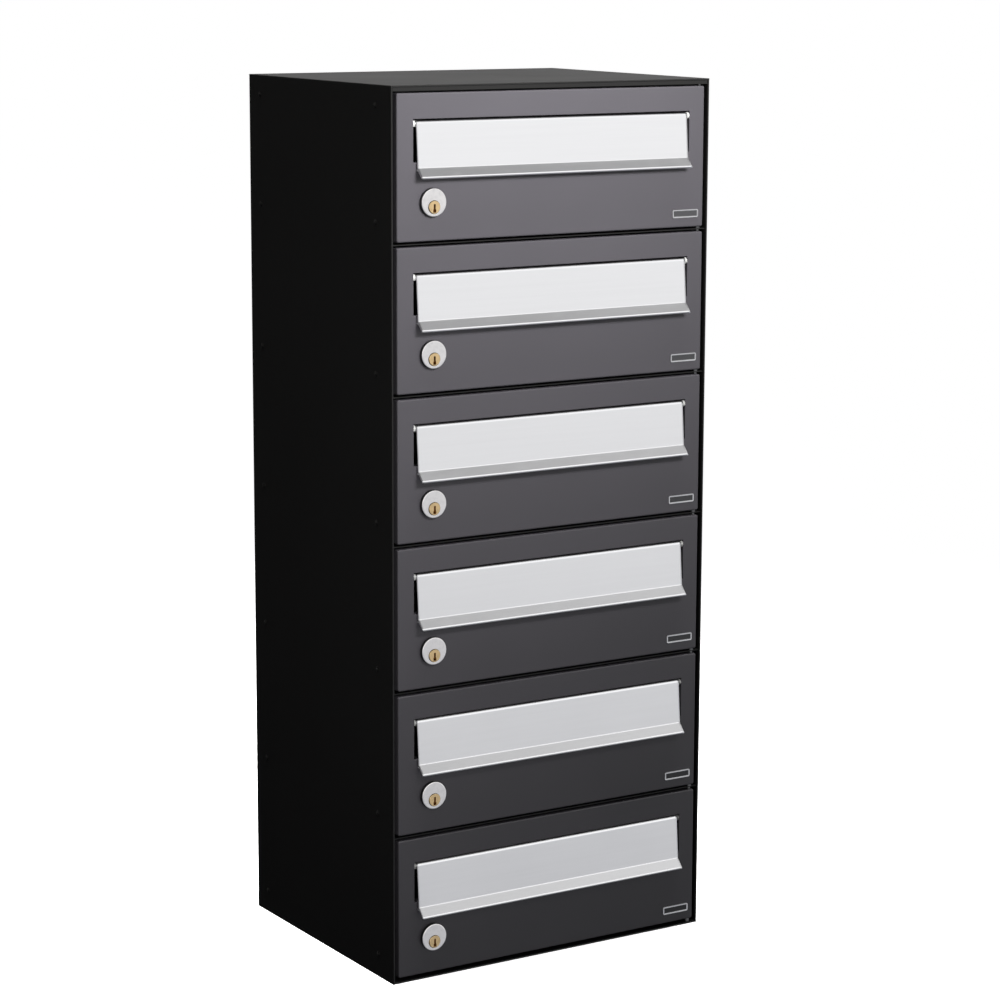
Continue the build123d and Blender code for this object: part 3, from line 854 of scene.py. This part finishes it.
def studio_world():
    """White for the camera. Mirrored in the object, it is a soft front that fades downwards and two sides."""
    world = bpy.data.worlds.new("studio")
    bpy.context.scene.world = world
    recipe = Recipe(world)
    x, y, z = recipe.split(recipe.node("ShaderNodeTexCoord").outputs["Generated"])
    front = (0.2 * x - y).between(-0.10, 0.45)
    level = 0.28 + z.between(-0.24, 0.08) * 0.72
    high = 1 - z.between(0.64, 0.84) * 0.75
    behind = (0.6 * x + 0.8 * y).between(0.6, 1) * WORLD_BEHIND
    right = x.between(0.65, 0.85) * WORLD_RIGHT
    glow = (front * level * high * WORLD_FRONT).most(right) + behind + WORLD_FILL
    camera = recipe.value(recipe.node("ShaderNodeLightPath").outputs["Is Camera Ray"])
    strength = glow * (1 - camera) + camera
    tint = recipe.mix(z.between(-0.35, -0.05), WORLD_TINT, (1, 1, 1))
    colour = recipe.mix(camera, tint, (1, 1, 1))
    shader = recipe.node("ShaderNodeBackground", sockets={"Color": colour, "Strength": strength})
    recipe.node("ShaderNodeOutputWorld", sockets={"Surface": shader.outputs[0]})
    world.cycles_visibility.diffuse = False


def stage_floor(width):
    """A pale floor, seen by the camera and not by the object."""
    mesh = bpy.data.meshes.new("floor")
    half = width / 2
    corners = [(-half, -half, 0), (half, -half, 0), (half, half, 0), (-half, half, 0)]
    mesh.from_pydata(corners, [], [(0, 1, 2, 3)])
    floor = bpy.data.objects.new("floor", mesh)
    bpy.context.scene.collection.objects.link(floor)
    floor.location.z = -FLOOR_DROP

    def sockets(recipe):
        return {"Base Color": (0.9, 0.9, 0.9), "Roughness": 0.9, "Specular IOR Level": 0.0,
                "Emission Color": (1, 1, 1), "Emission Strength": FLOOR_GLOW}
    mesh.materials.append(surface("pale_floor", sockets))
    floor.visible_glossy = False
    floor.visible_diffuse = False


class MAILBOX_OT_stage(bpy.types.Operator):
    """Pale floor, soft studio light and the camera"""
    bl_idname = "mailbox.stage"
    bl_label = "Stage"

    def execute(self, context):
        stage = context.scene.mailbox_stage
        studio_world()
        stage_floor(stage.floor_size)
        for name, (place, target, size, power, spread) in LIGHTS.items():
            area_light(name, place, target, size, power, radians(spread))
        self.camera(context.scene, stage)
        context.scene.view_settings.view_transform = "Standard"
        return {"FINISHED"}

    def camera(self, scene, stage):
        lens = bpy.data.cameras.new("camera")
        lens.sensor_width = SENSOR_WIDTH
        lens.lens = stage.lens
        lens.clip_end = CLIP_END
        lens.shift_x, lens.shift_y = stage.camera_shift
        camera = bpy.data.objects.new("camera", lens)
        scene.collection.objects.link(camera)
        camera.matrix_world = (Matrix.Translation(stage.camera_place)
                               @ Matrix.Rotation(-stage.camera_turn, 4, "Z")
                               @ Matrix.Rotation(pi / 2 - stage.camera_drop, 4, "X")
                               @ Matrix.Rotation(stage.camera_roll, 4, "Z"))
        scene.camera = camera


OPERATORS = (MAILBOX_OT_casing, MAILBOX_OT_doors, MAILBOX_OT_flaps, MAILBOX_OT_pivots, MAILBOX_OT_locks,
             MAILBOX_OT_threads, MAILBOX_OT_rivet_ends, MAILBOX_OT_badges, MAILBOX_OT_stage)


class MAILBOX_PT_panel(bpy.types.Panel):
    """The mailbox's settings and its pieces"""
    bl_idname = "MAILBOX_PT_panel"
    bl_label = "Cluster mailbox"
    bl_space_type = "VIEW_3D"
    bl_region_type = "UI"
    bl_category = "Mailbox"

    def draw(self, context):
        for name, group in GROUPS.items():
            column = self.layout.column()
            for setting in group.__annotations__:
                column.prop(getattr(context.scene, name), setting)
        for operator in OPERATORS:
            self.layout.operator(operator.bl_idname)


def register():
    for kind in (*GROUPS.values(), *OPERATORS, MAILBOX_PT_panel):
        bpy.utils.register_class(kind)
    for name, group in GROUPS.items():
        setattr(bpy.types.Scene, name, PointerProperty(type=group))


def unregister():
    for name in GROUPS:
        delattr(bpy.types.Scene, name)
    for kind in reversed((*GROUPS.values(), *OPERATORS, MAILBOX_PT_panel)):
        bpy.utils.unregister_class(kind)


def main():
    register()
    for operator in OPERATORS:
        family, name = operator.bl_idname.split(".")
        getattr(getattr(bpy.ops, family), name)()


if __name__ == "__main__":
    main()
